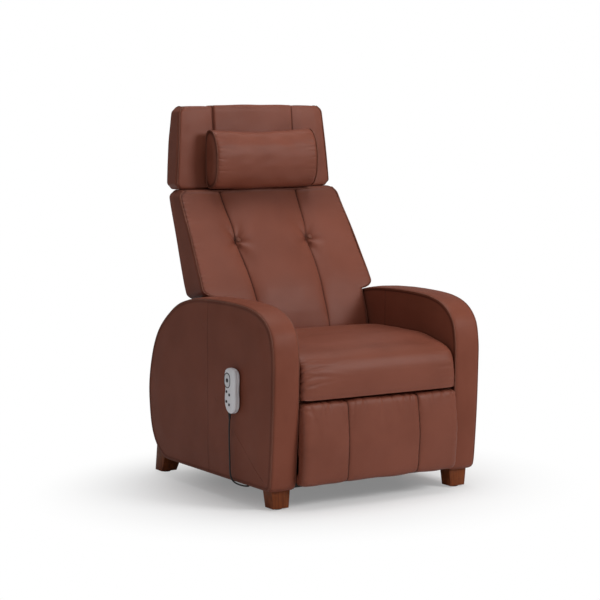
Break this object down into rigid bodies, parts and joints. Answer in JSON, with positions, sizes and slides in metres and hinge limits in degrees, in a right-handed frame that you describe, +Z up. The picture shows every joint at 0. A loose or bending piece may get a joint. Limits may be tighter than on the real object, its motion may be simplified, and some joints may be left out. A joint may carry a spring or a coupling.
{
  "type": "reflexology chair",
  "caption": "Powered reclining foot-care armchair with brown leather cushions, folding footrest, tilting headrest, neck pillow, tapered wooden feet and a wired handset.",
  "frame": {"origin": "on the floor, at the centre of the four floor glides", "axes": "+X to the right of someone who faces the chair, +Y to the back, +Z up; the chair faces -Y"},
  "size_m": [0.7336, 0.7791, 1.117],
  "materials": {
    "leather": "brown grained leather, soft sheen",
    "foot_wood": "stained wood, satin lacquer",
    "frame_wood": "raw sawn wood",
    "dark_wood": "black stained wood",
    "lining_cloth": "black woven lining",
    "black_steel": "black painted steel",
    "steel_parts": "zinc plated steel",
    "glide_plastic": "black plastic",
    "bushing_plastic": "ivory plastic",
    "black_plastic": "black moulded plastic",
    "handset_plastic": "grey satin plastic",
    "ring_plastic": "silver grey plastic",
    "key_plastic": "dark blue grey plastic",
    "black_rubber": "black rubber",
    "cord_rubber": "black cord jacket"
  },
  "bodies": {
    "base": {"floor_glides": "glide_plastic", "foot_bolts": "steel_parts", "front_foot_left": "foot_wood", "front_foot_right": "foot_wood", "rear_foot_left": "foot_wood", "rear_foot_right": "foot_wood", "arm_frame_left": "frame_wood", "arm_frame_right": "frame_wood", "arm_cover_left": "leather", "arm_cover_right": "leather", "front_rail": "dark_wood", "rear_rail": "frame_wood", "rear_panel": "leather", "lining_board": "lining_cloth", "bottom_cloth": "lining_cloth", "seat_side_rails": "frame_wood", "arm_bolts": "steel_parts", "seat_cross_rails": "frame_wood", "seat_springs": "steel_parts", "seat_cushion": "leather", "pivot_brackets": "black_steel", "shaft_bushings": "bushing_plastic", "motor_rails": "frame_wood", "back_drive": "black_plastic", "footrest_drive": "black_plastic", "drive_brackets": "black_steel", "control_box": "black_plastic", "power_inlet": "black_plastic", "handset_clip": "black_plastic", "handset_back": "handset_plastic", "handset_front": "handset_plastic", "cord_boot": "black_rubber", "cord_gland": "black_plastic", "handset_cord": "cord_rubber"},
    "back": {"back_frame": "frame_wood", "back_pivot_plates": "black_steel", "back_lever": "black_steel", "back_webbing": "lining_cloth", "back_cushion": "leather", "back_rear_cover": "leather", "tuft_buttons": "leather", "headrest_posts": "black_steel"},
    "back_rod": {"back_rod": "steel_parts"},
    "lift": {"footrest_shaft": "steel_parts", "lift_links": "black_steel"},
    "carrier": {"carrier_links": "black_steel"},
    "footrest": {"footrest_board": "dark_wood", "footrest_brackets": "black_steel", "footrest_pad": "leather"},
    "footrest_rod": {"footrest_rod": "steel_parts"},
    "headrest": {"headrest_hinges": "black_steel", "headrest_board": "frame_wood", "headrest_cushion": "leather"},
    "pillow": {"neck_pillow": "leather"},
    "ring_button": {"ring_button": "ring_plastic"},
    "centre_button": {"centre_button": "key_plastic"},
    "small_button_1": {"small_button_1": "key_plastic"},
    "small_button_2": {"small_button_2": "key_plastic"},
    "small_button_3": {"small_button_3": "key_plastic"},
    "small_button_4": {"small_button_4": "key_plastic"}
  },
  "joints": [
    {"name": "back_recline", "type": "hinge", "parent": "base", "child": "back", "pos_m": [0, 0.11, 0.345], "axis": [-1, 0, 0], "range_deg": [0, 40]},
    {"name": "back_rod_slide", "type": "slide", "parent": "base", "child": "back_rod", "axis": [0, -1, 0], "range_m": [0, 0.0616]},
    {"name": "footrest_lift", "type": "hinge", "parent": "base", "child": "lift", "pos_m": [0, -0.225, 0.27], "axis": [-1, 0, 0], "range_deg": [0, 88]},
    {"name": "footrest_rod_slide", "type": "slide", "parent": "base", "child": "footrest_rod", "axis": [0, -1, 0], "range_m": [0, 0.0626]},
    {"name": "carrier_turn", "type": "hinge", "parent": "lift", "child": "carrier", "pos_m": [0, -0.23, 0.102], "axis": [-1, 0, 0], "range_deg": [-114.5, 0]},
    {"name": "footrest_turn", "type": "hinge", "parent": "carrier", "child": "footrest", "pos_m": [0, -0.333, 0.244], "axis": [-1, 0, 0], "range_deg": [0, 114.5]},
    {"name": "headrest_tilt", "type": "hinge", "parent": "back", "child": "headrest", "pos_m": [0, 0.332, 0.862], "axis": [-1, 0, 0], "range_deg": [0, 20]},
    {"name": "pillow_slide", "type": "slide", "parent": "headrest", "child": "pillow", "axis": [0, 0.05, 0.9987], "range_m": [0, 0.07]},
    {"name": "ring_button_press", "type": "slide", "parent": "base", "child": "ring_button", "axis": [1, 0, 0], "range_m": [0, 0.0012], "stiffness_N_per_m": 300},
    {"name": "centre_button_press", "type": "slide", "parent": "base", "child": "centre_button", "axis": [1, 0, 0], "range_m": [0, 0.0012], "stiffness_N_per_m": 300},
    {"name": "small_button_1_press", "type": "slide", "parent": "base", "child": "small_button_1", "axis": [1, 0, 0], "range_m": [0, 0.0012], "stiffness_N_per_m": 300},
    {"name": "small_button_2_press", "type": "slide", "parent": "base", "child": "small_button_2", "axis": [1, 0, 0], "range_m": [0, 0.0012], "stiffness_N_per_m": 300},
    {"name": "small_button_3_press", "type": "slide", "parent": "base", "child": "small_button_3", "axis": [1, 0, 0], "range_m": [0, 0.0012], "stiffness_N_per_m": 300},
    {"name": "small_button_4_press", "type": "slide", "parent": "base", "child": "small_button_4", "axis": [1, 0, 0], "range_m": [0, 0.0012], "stiffness_N_per_m": 300}
  ],
  "couplings": [
    {"joint": "back_rod_slide", "follows": "back_recline", "m_per_rad": 0.088183},
    {"joint": "footrest_rod_slide", "follows": "footrest_lift", "m_per_rad": 0.040705},
    {"joint": "carrier_turn", "follows": "footrest_lift", "ratio": -1.3},
    {"joint": "footrest_turn", "follows": "footrest_lift", "ratio": 1.3}
  ]
}
